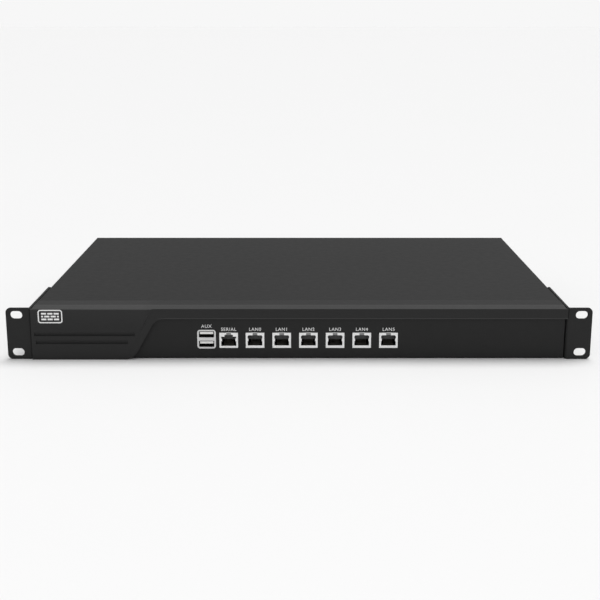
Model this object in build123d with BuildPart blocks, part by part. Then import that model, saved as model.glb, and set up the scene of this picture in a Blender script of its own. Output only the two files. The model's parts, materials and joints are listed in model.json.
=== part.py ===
"""A rack-mount firewall appliance, one rack unit high.

Frame: +X to the right as seen from the front, +Y to the back, +Z up, millimetres.
The origin is the middle of the footprint, on the surface that the case stands on.
The port side faces -Y.
"""
import os
from math import cos, radians, sin

from build123d import *

os.makedirs("parts", exist_ok=True)

# ---------------------------------------------------------------- driving dimensions
RACK_WIDTH = 482.6          # over both ears, the 19 inch rack standard
RACK_HOLES_X = 465.1        # between the ears' slots, side to side
RACK_HOLES_Z = 31.75        # between an ear's slots, up and down
BODY_WIDTH = 439.0
BODY_HEIGHT = 44.0
DEPTH = 307.0               # front of the bezel to the back of the power inlet
SHEET = 1.2                 # steel of the tray and panels
COVER_SHEET = 1.0
EAR_SHEET = 2.0

# planes along the depth
FRONT_Y = -DEPTH / 2        # raised pad of the bezel
LIP_Y = FRONT_Y + 0.8       # the rest of the bezel's face
EAR_Y = FRONT_Y + 2.3       # front of the rack ears
PANEL_Y = EAR_Y + 2.5       # front of the steel port panel
SEAM_Y = EAR_Y + 25.2       # where the top cover meets the bezel
BACK_Y = DEPTH / 2          # back of the power inlet
REAR_Y = BACK_Y - 2.7       # outside of the rear panel

# planes up the height
COVER_Z = BODY_HEIGHT - COVER_SHEET
FLANGE_Z = BODY_HEIGHT - 2.1    # top of the port panel's upper flange
MID_Z = BODY_HEIGHT / 2
BOARD_TOP = 9.1
BOARD_SHEET = 1.6
FAN_Z = 21.65

HALF = BODY_WIDTH / 2
WALL = HALF - SHEET         # inside face of a side wall


# ---------------------------------------------------------------- helpers
def facing_front(y):
    """Sketch plane that looks out of the front: sketch x is X, sketch y is Z."""
    return Plane(origin=(0, y, 0), x_dir=(1, 0, 0), z_dir=(0, -1, 0))


def facing_back(y):
    """Sketch plane whose normal is +Y: sketch x is -X, sketch y is Z."""
    return Plane(origin=(0, y, 0), x_dir=(-1, 0, 0), z_dir=(0, 1, 0))


def facing_right(x):
    """Sketch plane whose normal is +X: sketch x is Y, sketch y is Z."""
    return Plane(origin=(x, 0, 0), x_dir=(0, 1, 0), z_dir=(1, 0, 0))


def facing_side(side, x):
    """Sketch plane whose normal points out of the given side, +1 right or -1 left."""
    return Plane(origin=(side * x, 0, 0), x_dir=(0, side, 0), z_dir=(side, 0, 0))


def at(plane, across, up):
    """The same plane with its origin moved to a place on it."""
    place = plane.from_local_coords(Vector(across, up, 0))
    return Plane(origin=place, x_dir=plane.x_dir, z_dir=plane.z_dir)


def save(piece, name):
    """Label a finished piece and write it to its own file."""
    piece.part.label = name
    export_step(piece.part, f"parts/{name}.step")


def outline(*points):
    """Closed face through the points, inside the sketch that is open."""
    with BuildLine() as edge_line:
        Polyline(*points, close=True)
    make_face(edge_line.edges())


def block(x, y, z, mode=Mode.ADD):
    """A box from three (low, high) pairs, in the part that is open."""
    middle = [(low + high) / 2 for low, high in (x, y, z)]
    with Locations(Vector(*middle)):
        Box(x[1] - x[0], y[1] - y[0], z[1] - z[0], mode=mode)


def pan_screw(plane, head_r, head_h, shank_r, shank_l):
    """Round-headed screw whose head stands on the plane, with a cross recess."""
    with BuildSketch(plane) as head:
        Circle(head_r)
    extrude(head.sketch, amount=head_h)
    with BuildSketch(plane.offset(head_h)) as recess:
        Rectangle(head_r * 1.1, head_r * 0.28)
        Rectangle(head_r * 0.28, head_r * 1.1)
    extrude(recess.sketch, amount=-head_h * 0.55, mode=Mode.SUBTRACT)
    with BuildSketch(plane) as shank:
        Circle(shank_r)
    extrude(shank.sketch, amount=-shank_l)


def flat_screw(plane, head_r, shank_r, length):
    """Countersunk screw, its head flush with the plane, with a cross recess."""
    with BuildSketch(plane) as head:
        Circle(head_r)
    extrude(head.sketch, amount=-(head_r - shank_r), taper=45)
    with BuildSketch(plane) as shank:
        Circle(shank_r)
    extrude(shank.sketch, amount=-length)
    with BuildSketch(plane) as recess:
        Rectangle(head_r * 1.1, head_r * 0.26)
        Rectangle(head_r * 0.26, head_r * 1.1)
    extrude(recess.sketch, amount=-0.9, mode=Mode.SUBTRACT)


# ---------------------------------------------------------------- ports along the panel
PORT_LOW = 9.15             # underside of the jacks' metal faces
JACK_W, JACK_H, JACK_L = 15.4, 13.05, 21.0
JACK_Y = PANEL_Y - 0.6      # the jacks stand a little proud of the panel
LAN_PITCH = 22.1
LAN_X = [-36.5 + LAN_PITCH * number for number in range(6)]
SERIAL_X = -58.3
USB_X = -76.6
USB_LOW, USB_W, USB_H = 8.65, 15.4, 16.1
USB_BODY_W, USB_BODY_H, USB_L = 14.2, 15.0, 17.5
CUT_ROOM = 0.2              # around each connector in its panel cut-out

# screw places
EAR_SCREWS = [(EAR_Y + y, z) for y in (20.0, 56.0) for z in (10.0, 27.0)]
COVER_SIDE_SCREWS = [(y, 38.0) for y in (-52.0, 44.0, 132.0)]
COVER_TABS_X = (-204.0, -20.0, 92.0)
COVER_TAB_Z = 37.0
BEZEL_SCREWS = [(-207.0, 8.0), (-152.0, 8.0), (-40.0, 37.0), (90.0, 37.0), (205.0, 37.0)]
FAN_X = (-174.0, -122.0, -70.0)
FAN_SIZE, FAN_L, FAN_BOLTS = 40.0, 28.0, 32.0
FAN_BORE_R = 18.8
INLET_X, INLET_Z = 190.0, 22.0
SWITCH_X, SWITCH_Z = 152.0, 22.0
EARTH_X, EARTH_Z = 122.0, 14.0

# ---------------------------------------------------------------- base tray
JOGGLE_Y = PANEL_Y + 13.0   # the floor steps up over the port panel's lower flange
TRAY_FRONT = PANEL_Y + SHEET
TRAY_BACK = REAR_Y - SHEET
VENT_Y = [-38.0 + 8.0 * number for number in range(9)] + [58.0 + 8.0 * number for number in range(8)]

with BuildPart() as base_tray:
    with BuildSketch(facing_right(-WALL)):
        outline((TRAY_FRONT + 1, SHEET), (JOGGLE_Y, SHEET), (JOGGLE_Y + 1.5, 0), (TRAY_BACK, 0),
                (TRAY_BACK, SHEET), (JOGGLE_Y + 2.2, SHEET), (JOGGLE_Y + 0.7, 2 * SHEET),
                (TRAY_FRONT + 1, 2 * SHEET))
    extrude(amount=2 * WALL)
    for side in (-1, 1):
        with BuildSketch(facing_right(side * HALF)):
            outline((TRAY_FRONT, 0), (TRAY_BACK, 0), (TRAY_BACK, COVER_Z), (SEAM_Y, COVER_Z),
                    (SEAM_Y, FLANGE_Z - 0.1), (TRAY_FRONT, FLANGE_Z - 0.1))
        extrude(amount=-side * SHEET)
    with BuildSketch(facing_right(-HALF)):
        with Locations(*[(y, MID_Z - 1) for y in VENT_Y]):
            SlotOverall(24, 3, rotation=90)
        with Locations(*EAR_SCREWS):
            Circle(2.2)
        with Locations(*COVER_SIDE_SCREWS):
            Circle(1.7)
    extrude(amount=BODY_WIDTH, mode=Mode.SUBTRACT)
save(base_tray, "base_tray")

# ---------------------------------------------------------------- port panel
with BuildPart() as port_panel:
    with BuildSketch(facing_right(-WALL + 0.1)):
        outline((PANEL_Y, 0), (JOGGLE_Y - 0.3, 0), (JOGGLE_Y - 0.3, SHEET), (PANEL_Y + SHEET, SHEET),
                (PANEL_Y + SHEET, FLANGE_Z - SHEET), (SEAM_Y - 3, FLANGE_Z - SHEET),
                (SEAM_Y - 3, FLANGE_Z), (PANEL_Y, FLANGE_Z))
    extrude(amount=2 * (WALL - 0.1))
    block((-HALF, HALF), (PANEL_Y, TRAY_FRONT), (0, FLANGE_Z))
    folds = port_panel.edges().filter_by(Axis.X).group_by(Axis.Y)[0]
    fillet(folds, 0.5)
    with BuildSketch(facing_front(PANEL_Y)):
        with Locations(*[(x, PORT_LOW + JACK_H / 2) for x in (SERIAL_X, *LAN_X)]):
            Rectangle(JACK_W + 2 * CUT_ROOM, JACK_H + 2 * CUT_ROOM)
        with Locations((USB_X, USB_LOW + USB_H / 2)):
            Rectangle(USB_BODY_W + 2 * CUT_ROOM, USB_BODY_H + 2 * CUT_ROOM)
        with Locations(*BEZEL_SCREWS):
            Circle(1.7)
    extrude(amount=-SHEET, mode=Mode.SUBTRACT)
save(port_panel, "port_panel")

# ---------------------------------------------------------------- rear panel
with BuildPart() as rear_panel:
    block((-HALF, HALF), (TRAY_BACK, REAR_Y), (0, COVER_Z))
    block((-WALL + 0.5, WALL - 0.5), (TRAY_BACK - 9, TRAY_BACK), (COVER_Z - SHEET, COVER_Z))
    for low, high in ((-WALL + 0.5, FAN_X[0] - 22), (-46.0, WALL - 0.5)):
        block((low, high), (TRAY_BACK - 9, TRAY_BACK), (SHEET, 2 * SHEET))
    with BuildSketch(facing_front(REAR_Y)):
        with Locations(*[(x, FAN_Z) for x in FAN_X]):
            Circle(FAN_BORE_R)
            with GridLocations(FAN_BOLTS, FAN_BOLTS, 2, 2):
                Circle(2.1)
        with Locations((INLET_X, INLET_Z)):
            Rectangle(27.4, 20.2)
        with Locations((SWITCH_X, SWITCH_Z)):
            Rectangle(13.2, 19.4)
        with Locations((EARTH_X, EARTH_Z)):
            Circle(2.1)
        with Locations(*[(x, COVER_TAB_Z) for x in COVER_TABS_X]):
            Circle(1.3)
        with Locations(*[(x, MID_Z) for x in range(0, 91, 6)]):
            SlotOverall(22, 2.6, rotation=90)
    extrude(amount=SHEET, mode=Mode.SUBTRACT)
save(rear_panel, "rear_panel")

# ---------------------------------------------------------------- top cover
LIP_X = WALL - 0.4          # outside of the cover's lips, just inside the tray's walls
with BuildPart() as top_cover:
    block((-HALF, HALF), (SEAM_Y, REAR_Y + COVER_SHEET), (COVER_Z, BODY_HEIGHT))
    block((-WALL + 2, WALL - 2), (SEAM_Y, SEAM_Y + COVER_SHEET), (36.0, COVER_Z))
    block((-HALF, HALF), (REAR_Y, REAR_Y + COVER_SHEET), (41.0, COVER_Z))
    for x in COVER_TABS_X:
        block((x - 8, x + 8), (REAR_Y, REAR_Y + COVER_SHEET), (33.0, 41.5))
    for side in (-1, 1):
        edges_x = sorted((side * LIP_X, side * (LIP_X - COVER_SHEET)))
        block(edges_x, (SEAM_Y + 6, TRAY_BACK - 12), (32.0, COVER_Z))
    long_edges = top_cover.edges().filter_by(Axis.Y).group_by(Axis.Z)[-1]
    cross_edges = top_cover.edges().filter_by(Axis.X).group_by(Axis.Z)[-1]
    fillet(long_edges + cross_edges, 0.7)
    with BuildSketch(facing_right(-HALF)):
        with Locations(*COVER_SIDE_SCREWS):
            Circle(1.3)
    extrude(amount=BODY_WIDTH, mode=Mode.SUBTRACT)
    with BuildSketch(facing_back(REAR_Y)):
        with Locations(*[(-x, COVER_TAB_Z) for x in COVER_TABS_X]):
            Circle(1.7)
    extrude(amount=COVER_SHEET, mode=Mode.SUBTRACT)
save(top_cover, "top_cover")

# ---------------------------------------------------------------- front bezel
BEZEL_HALF = 220.8          # the face laps past the body on each side, over the gap at the ears
SKIRT_HALF = HALF - 0.1
FACE_TOP = 43.4
CREST_Y = EAR_Y + 9.3       # where the top starts to fall to the face
LIP_LOW = 34.9              # underside of the lip above the ports
SWEEP_LOW_X, SWEEP_TOP_X = -137.3, -117.7
SWEEP_LOW_R, SWEEP_TOP_R = 13.6, 12.0
GROOVES = [(-218.2, -135.5, 20.4, 23.8), (-217.2, -141.5, 13.5, 17.0)]
BEZEL_WALL = 2.0

with BuildPart() as bezel:
    # lip and top skirt, one profile from side to side
    with BuildSketch(facing_right(-SKIRT_HALF)):
        outline((LIP_Y, LIP_LOW), (LIP_Y, FACE_TOP), (CREST_Y, BODY_HEIGHT), (SEAM_Y - 0.4, BODY_HEIGHT),
                (SEAM_Y - 0.4, FLANGE_Z), (PANEL_Y, FLANGE_Z), (PANEL_Y, LIP_LOW))
    extrude(amount=2 * SKIRT_HALF)
    # left block, whose right edge sweeps down in an S from the lip
    for half, back in ((BEZEL_HALF, LIP_Y + 1.6), (SKIRT_HALF, PANEL_Y)):
        with BuildSketch(facing_front(LIP_Y)) as face_sketch:
            with BuildLine():
                Polyline((SWEEP_LOW_X, 0), (-half, 0), (-half, FACE_TOP), (half, FACE_TOP),
                         (half, LIP_LOW), (SWEEP_TOP_X, LIP_LOW), close=True)
            make_face()
            corners = face_sketch.vertices()
            fillet(corners.sort_by_distance((SWEEP_TOP_X, LIP_LOW))[0], SWEEP_TOP_R)
            corners = face_sketch.vertices()
            fillet(corners.sort_by_distance((SWEEP_LOW_X, 0))[0], SWEEP_LOW_R)
        extrude(amount=-(back - LIP_Y))
    # raised pad, falling back to the face above the grooves
    with BuildSketch(facing_front(LIP_Y)):
        outline((-220.6, 23.8), (-130.7, 23.8), (-119.6, 43.3), (-220.6, 43.3))
    with BuildSketch(facing_front(FRONT_Y)):
        outline((-220.3, 32.0), (-127.2, 32.0), (-121.6, 42.9), (-220.3, 42.9))
    loft(ruled=True)
    # two grooves, sloping in from above to a square ledge
    for low_x, high_x, low_z, high_z in GROOVES:
        with BuildSketch(facing_right(low_x)):
            outline((FRONT_Y - 1, high_z), (LIP_Y, high_z), (LIP_Y + 1.1, low_z + 0.8),
                    (LIP_Y + 1.1, low_z), (FRONT_Y - 1, low_z))
        extrude(amount=high_x - low_x, mode=Mode.SUBTRACT)
    # hollow back, with screw bosses
    with BuildSketch(facing_front(PANEL_Y)):
        outline((-217.0, 2.6), (-141.5, 2.6), (-124.8, 31.5), (-217.0, 31.5))
        with Locations(*BEZEL_SCREWS[:2]):
            Circle(3.2, mode=Mode.SUBTRACT)
    extrude(amount=PANEL_Y - LIP_Y - BEZEL_WALL, mode=Mode.SUBTRACT)
    with BuildSketch(facing_front(PANEL_Y)):
        with Locations(*BEZEL_SCREWS):
            Circle(1.25)
    extrude(amount=3.0, mode=Mode.SUBTRACT)
save(bezel, "bezel")

with BuildPart() as bezel_screws:
    for x, z in BEZEL_SCREWS:
        pan_screw(at(facing_back(TRAY_FRONT), -x, z), 2.6, 1.8, 1.25, SHEET + 2.9)
save(bezel_screws, "bezel_screws")

# ---------------------------------------------------------------- rack ears
EAR_LOW, EAR_HIGH = 0.2, 43.8
EAR_GAP = 0.7               # pressed bosses hold the flange off the side wall
EAR_IN = HALF + EAR_GAP
EAR_OUT = EAR_IN + EAR_SHEET
FLANGE_LENGTH = 77.0
BEND_R = 2.5                # outside of the bend, inside is one sheet less
SLOT_L, SLOT_R = 10.0, 3.3
BOSS_R = 5.0


def make_ear(side):
    """A bent steel ear: plate with two slots in front, flange along the side wall."""
    with BuildPart() as ear:
        with BuildSketch(Plane.XY.offset(EAR_LOW)) as profile:
            tip, foot = RACK_WIDTH / 2, EAR_OUT
            outline((side * EAR_IN, EAR_Y), (side * tip, EAR_Y), (side * tip, EAR_Y + EAR_SHEET),
                    (side * foot, EAR_Y + EAR_SHEET), (side * foot, EAR_Y + FLANGE_LENGTH),
                    (side * EAR_IN, EAR_Y + FLANGE_LENGTH))
            outer = profile.vertices().sort_by_distance((side * EAR_IN, EAR_Y))[0]
            fillet(outer, BEND_R)
            inner = profile.vertices().sort_by_distance((side * foot, EAR_Y + EAR_SHEET))[0]
            fillet(inner, BEND_R - EAR_SHEET)
        extrude(amount=EAR_HIGH - EAR_LOW)
        plate_corners = ear.edges().filter_by(Axis.Y).filter_by(
            lambda edge: abs(edge.center().X) > tip - 0.1)
        fillet(plate_corners, 4.0)
        flange_corners = ear.edges().filter_by(Axis.X).filter_by(
            lambda edge: edge.center().Y > EAR_Y + FLANGE_LENGTH - 0.1)
        fillet(flange_corners, 3.0)
        with BuildSketch(facing_front(EAR_Y)):
            with Locations((side * RACK_HOLES_X / 2, MID_Z)):
                with GridLocations(0, RACK_HOLES_Z, 1, 2):
                    SlotOverall(SLOT_L, 2 * SLOT_R)
        extrude(amount=-EAR_SHEET, mode=Mode.SUBTRACT)
        front_rim = ear.faces().sort_by(Axis.Y)[0].outer_wire().edges()
        chamfer(front_rim.filter_by(lambda edge: abs(edge.center().X) > EAR_IN + BEND_R + 0.5), 0.25)
        for y, z in EAR_SCREWS:
            with BuildSketch(at(facing_side(side, EAR_IN), side * y, z)) as boss:
                Circle(BOSS_R)
            extrude(boss.sketch, amount=-EAR_GAP)
        with Locations(*[Plane(origin=(side * foot, y, z), x_dir=(0, side, 0), z_dir=(side, 0, 0)).location
                         for y, z in EAR_SCREWS]):
            CounterSinkHole(radius=2.2, counter_sink_radius=4.1, depth=EAR_SHEET + EAR_GAP)
    return ear


save(make_ear(-1), "ear_left")
save(make_ear(1), "ear_right")

with BuildPart() as ear_screws:
    for side in (-1, 1):
        for y, z in EAR_SCREWS:
            head_plane = at(facing_side(side, EAR_OUT - 0.05), side * y, z)
            flat_screw(head_plane, 3.9, 1.95, 8.0)
save(ear_screws, "ear_screws")

with BuildPart() as ear_nuts:
    for side in (-1, 1):
        for y, z in EAR_SCREWS:
            with BuildSketch(at(facing_side(side, WALL), side * y, z)):
                RegularPolygon(3.9, 6)
                Circle(2.0, mode=Mode.SUBTRACT)
            extrude(amount=-2.6)
save(ear_nuts, "ear_nuts")

with BuildPart() as cover_screws:
    for side in (-1, 1):
        for y, z in COVER_SIDE_SCREWS:
            pan_screw(at(facing_side(side, HALF), side * y, z), 2.7, 1.3, 1.25, 4.2)
    for x in COVER_TABS_X:
        pan_screw(at(facing_back(REAR_Y + COVER_SHEET), -x, COVER_TAB_Z), 2.7, 1.3, 1.25, 4.0)
save(cover_screws, "cover_screws")

# ---------------------------------------------------------------- network and serial jacks
JACK_SHELL = 0.35           # steel of the jack's shield
JACK_FACE = 0.6             # thickness of its front frame
CAVITY_L = 14.0
TAB_W = 3.8                 # slot that takes the plug's latch


def lan_mouth():
    """Opening of a network jack, from the jack's lower middle."""
    outline((-6.05, 2.1), (6.05, 2.1), (6.05, 10.1), (5.2, 10.85), (TAB_W / 2, 10.85), (TAB_W / 2, 12.7),
            (-TAB_W / 2, 12.7), (-TAB_W / 2, 10.85), (-5.2, 10.85), (-6.05, 10.1))


def serial_mouth():
    """Opening of the serial jack, with a wide step under its latch slot."""
    outline((-6.2, 1.75), (6.2, 1.75), (6.2, 9.65), (3.4, 9.65), (3.4, 11.35), (TAB_W / 2, 11.35),
            (TAB_W / 2, 12.7), (-TAB_W / 2, 12.7), (-TAB_W / 2, 11.35), (-3.4, 11.35), (-3.4, 9.65),
            (-6.2, 9.65))


def jack_plane(x, y):
    """Front-facing plane whose origin is the jack's lower middle."""
    return Plane(origin=(x, y, PORT_LOW), x_dir=(1, 0, 0), z_dir=(0, -1, 0))


def make_shield(x, mouth):
    """Steel shield: a closed box with a framed mouth, side springs and a latch spring."""
    back = JACK_Y + JACK_L
    with BuildPart() as shield:
        block((x - JACK_W / 2, x + JACK_W / 2), (JACK_Y, back), (PORT_LOW, PORT_LOW + JACK_H))
        block((x - JACK_W / 2 + JACK_SHELL, x + JACK_W / 2 - JACK_SHELL), (JACK_Y + JACK_FACE, back - JACK_SHELL),
              (PORT_LOW + JACK_SHELL, PORT_LOW + JACK_H - JACK_SHELL), mode=Mode.SUBTRACT)
        with BuildSketch(jack_plane(x, JACK_Y)):
            mouth()
        extrude(amount=-JACK_FACE, mode=Mode.SUBTRACT)
        # side springs that touch the plug, and the strip above the latch slot
        for side in (-1, 1):
            low, high = sorted((x + side * 5.55, x + side * 6.5))
            block((low, high), (JACK_Y, JACK_Y + JACK_FACE), (PORT_LOW + 5.7, PORT_LOW + 8.1))
        block((x - 2.4, x + 2.4), (JACK_Y, JACK_Y + JACK_FACE), (PORT_LOW + JACK_H - 0.35, PORT_LOW + JACK_H + 0.15))
    return shield


def make_insert(x, mouth):
    """Black moulded body inside the shield, with the plug's cavity."""
    front = JACK_Y + JACK_FACE
    half = JACK_W / 2 - JACK_SHELL
    with BuildPart() as insert:
        block((x - half, x + half), (front, JACK_Y + JACK_L - JACK_SHELL),
              (PORT_LOW + JACK_SHELL, PORT_LOW + JACK_H - JACK_SHELL))
        with BuildSketch(jack_plane(x, front)):
            mouth()
        extrude(amount=-CAVITY_L, mode=Mode.SUBTRACT)
    return insert


for number, x in enumerate(LAN_X):
    save(make_shield(x, lan_mouth), f"lan_shield_{number}")
    save(make_insert(x, lan_mouth), f"lan_insert_{number}")
save(make_shield(SERIAL_X, serial_mouth), "serial_shield")
save(make_insert(SERIAL_X, serial_mouth), "serial_insert")

CONTACT_PITCH = 1.02
CONTACT_W = 0.45
with BuildPart() as jack_contacts:
    for x in (SERIAL_X, *LAN_X):
        for number in range(8):
            left = x + (number - 3.5) * CONTACT_PITCH - CONTACT_W / 2
            low, front = PORT_LOW + 2.2, JACK_Y + 3.0
            with BuildSketch(facing_right(left)):
                outline((front, low), (front + 9.0, low + 2.2), (front + 10.5, low + 2.2),
                        (front + 10.5, low + 2.5), (front + 8.9, low + 2.5), (front, low + 0.3))
            extrude(amount=CONTACT_W)
save(jack_contacts, "jack_contacts")

# ---------------------------------------------------------------- stacked USB socket
USB_BODY_LOW = USB_LOW + (USB_H - USB_BODY_H) / 2
USB_MOUTHS = [USB_LOW + 4.07, USB_LOW + 12.2]       # middles of the two mouths
USB_MOUTH_W, USB_MOUTH_H = 12.6, 5.3
USB_RIM = 0.7
USB_CAVITY_L = 12.0
USB_FACE_Y = PANEL_Y - USB_RIM

with BuildPart() as usb_shell:
    block((USB_X - USB_BODY_W / 2, USB_X + USB_BODY_W / 2), (PANEL_Y, PANEL_Y + USB_L),
          (USB_BODY_LOW, USB_BODY_LOW + USB_BODY_H))
    with BuildSketch(facing_front(PANEL_Y)):
        with Locations((USB_X, USB_LOW + USB_H / 2)):
            RectangleRounded(USB_W, USB_H, 2.4)
    extrude(amount=USB_RIM)
    with BuildSketch(facing_front(USB_FACE_Y)):
        with Locations(*[(USB_X, z) for z in USB_MOUTHS]):
            RectangleRounded(USB_MOUTH_W, USB_MOUTH_H, 0.6)
    extrude(amount=-(USB_CAVITY_L + USB_RIM), mode=Mode.SUBTRACT)
save(usb_shell, "usb_shell")

TONGUE_W, TONGUE_H = 11.0, 1.8
TONGUE_LIFT = 0.15
with BuildPart() as usb_tongues:
    for z in USB_MOUTHS:
        block((USB_X - TONGUE_W / 2, USB_X + TONGUE_W / 2), (USB_FACE_Y + 0.5, PANEL_Y + USB_CAVITY_L),
              (z + TONGUE_LIFT, z + TONGUE_LIFT + TONGUE_H))
save(usb_tongues, "usb_tongues")

with BuildPart() as usb_contacts:
    for z in USB_MOUTHS:
        for x in (-3.5, -1.0, 1.0, 3.5):
            block((USB_X + x - 0.5, USB_X + x + 0.5), (USB_FACE_Y + 2.0, PANEL_Y + 9.0),
                  (z + TONGUE_LIFT - 0.2, z + TONGUE_LIFT))
save(usb_contacts, "usb_contacts")

# ---------------------------------------------------------------- main board
BOARD_X = (-100.0, 106.0)
BOARD_Y = (PANEL_Y + 2.4, 18.0)
BOARD_HOLES = [(x, y) for x in (-95.0, 101.0) for y in (-138.0, 12.0)]
HOLE_R = 1.7
BOARD_LOW = BOARD_TOP - BOARD_SHEET

with BuildPart() as main_board:
    block(BOARD_X, BOARD_Y, (BOARD_LOW, BOARD_TOP))
    with Locations(*[(x, y, BOARD_TOP) for x, y in BOARD_HOLES]):
        Hole(HOLE_R, depth=BOARD_SHEET)
save(main_board, "main_board")


def make_standoffs(places, low, high, inside_r=1.25):
    """Hexagonal brass pillars, open at the top for their screws."""
    with BuildPart() as pillars:
        for x, y in places:
            with BuildSketch(Plane.XY.offset(low)):
                with Locations((x, y)):
                    RegularPolygon(3.1, 6)
            extrude(amount=high - low)
            with Locations((x, y, high)):
                Hole(inside_r, depth=min(5.0, high - low - 0.3))
    return pillars


def make_board_screws(places, top):
    """Pan-headed screws standing on a board."""
    with BuildPart() as screws:
        for x, y in places:
            pan_screw(at(Plane.XY.offset(top), x, y), 2.7, 1.8, 1.2, BOARD_SHEET + 2.4)
    return screws


def floor_top(y):
    """Height of the tray's floor at a place along the depth."""
    return 2 * SHEET if y < JOGGLE_Y else SHEET


with BuildPart() as board_standoffs:
    for y in (-138.0, 12.0):
        row = [place for place in BOARD_HOLES if place[1] == y]
        add(make_standoffs(row, floor_top(y), BOARD_LOW).part)
save(board_standoffs, "board_standoffs")
save(make_board_screws(BOARD_HOLES, BOARD_TOP), "board_screws")

CPU_X, CPU_Y = 4.0, -62.0
with BuildPart() as processor:
    block((CPU_X - 18, CPU_X + 18), (CPU_Y - 18, CPU_Y + 18), (BOARD_TOP, BOARD_TOP + 1.4))
    block((CPU_X - 9, CPU_X + 9), (CPU_Y - 9, CPU_Y + 9), (BOARD_TOP + 1.4, BOARD_TOP + 3.0))
save(processor, "processor")

SINK_SIZE, SINK_BASE, SINK_H = 84.0, 4.0, 24.0
SINK_Z = BOARD_TOP + 3.0
with BuildPart() as heat_sink:
    block((CPU_X - SINK_SIZE / 2, CPU_X + SINK_SIZE / 2), (CPU_Y - SINK_SIZE / 2, CPU_Y + SINK_SIZE / 2),
          (SINK_Z, SINK_Z + SINK_H))
    gap = 2.8
    for number in range(20):
        left = CPU_X - SINK_SIZE / 2 + 1.4 + number * (gap + 1.4)
        if left + gap < CPU_X + SINK_SIZE / 2 - 1:
            block((left, left + gap), (CPU_Y - SINK_SIZE / 2, CPU_Y + SINK_SIZE / 2),
                  (SINK_Z + SINK_BASE, SINK_Z + SINK_H), mode=Mode.SUBTRACT)
save(heat_sink, "heat_sink")

MEMORY_X, MEMORY_Y = 76.0, -40.0
with BuildPart() as memory_socket:
    block((MEMORY_X - 4, MEMORY_X + 4), (MEMORY_Y - 35, MEMORY_Y + 35), (BOARD_TOP, BOARD_TOP + 5.2))
    block((MEMORY_X - 2, MEMORY_X + 4), (MEMORY_Y - 33.9, MEMORY_Y + 33.9), (BOARD_TOP + 3.4, BOARD_TOP + 4.6),
          mode=Mode.SUBTRACT)
save(memory_socket, "memory_socket")

with BuildPart() as memory_module:
    block((MEMORY_X - 1.9, MEMORY_X + 28), (MEMORY_Y - 33.8, MEMORY_Y + 33.8), (BOARD_TOP + 3.5, BOARD_TOP + 4.5))
    for y in (-24.0, -8.0, 8.0, 24.0):
        block((MEMORY_X + 8, MEMORY_X + 20), (MEMORY_Y + y - 5, MEMORY_Y + y + 5), (BOARD_TOP + 4.5, BOARD_TOP + 5.6))
save(memory_module, "memory_module")

with BuildPart() as network_chips:
    for x in LAN_X:
        block((x - 4.5, x + 4.5), (-121.0, -112.0), (BOARD_TOP, BOARD_TOP + 1.0))
save(network_chips, "network_chips")

with BuildPart() as board_capacitors:
    for number in range(6):
        with BuildSketch(Plane.XY.offset(BOARD_TOP)):
            with Locations((-84.0, -92.0 + 11.0 * number)):
                Circle(3.15)
        extrude(amount=8.0)
save(board_capacitors, "board_capacitors")

HEADER_X, HEADER_Y = 84.0, 9.0
with BuildPart() as power_header:
    block((HEADER_X - 9, HEADER_X + 9), (HEADER_Y - 5, HEADER_Y + 5), (BOARD_TOP, BOARD_TOP + 12.0))
save(power_header, "power_header")

# ---------------------------------------------------------------- solid-state drive
DRIVE_X, DRIVE_Y = (-206.0, -136.1), (-96.0, 4.4)
DRIVE_LOW = 10.0
with BuildPart() as drive_bracket:
    block((DRIVE_X[0] - 2, DRIVE_X[1] + 2), (DRIVE_Y[0], DRIVE_Y[1]), (DRIVE_LOW - 1.0, DRIVE_LOW))
    for x in (DRIVE_X[0] - 2, DRIVE_X[1] + 1):
        block((x, x + 1), (DRIVE_Y[0], DRIVE_Y[1]), (SHEET, DRIVE_LOW - 1.0))
    for low, high in ((DRIVE_X[0] - 8, DRIVE_X[0] - 1), (DRIVE_X[1] + 1, DRIVE_X[1] + 8)):
        block((low, high), (DRIVE_Y[0], DRIVE_Y[1]), (SHEET, SHEET + 1.0))
save(drive_bracket, "drive_bracket")

with BuildPart() as storage_drive:
    block(DRIVE_X, DRIVE_Y, (DRIVE_LOW, DRIVE_LOW + 7.0))
    fillet(storage_drive.edges().filter_by(Axis.Z), 2.0)
save(storage_drive, "storage_drive")

# ---------------------------------------------------------------- fans
ROTOR_BACK = TRAY_BACK - 6.0            # open end of the rotor, next to the motor's base
ROTOR_FRONT = TRAY_BACK - FAN_L + 2.0
HUB_R, BLADE_R, SHAFT_R = 11.8, 18.1, 1.5
BEARING_R, BEARING_CLEARANCE = 3.2, 0.05
BLADES = 7


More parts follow.
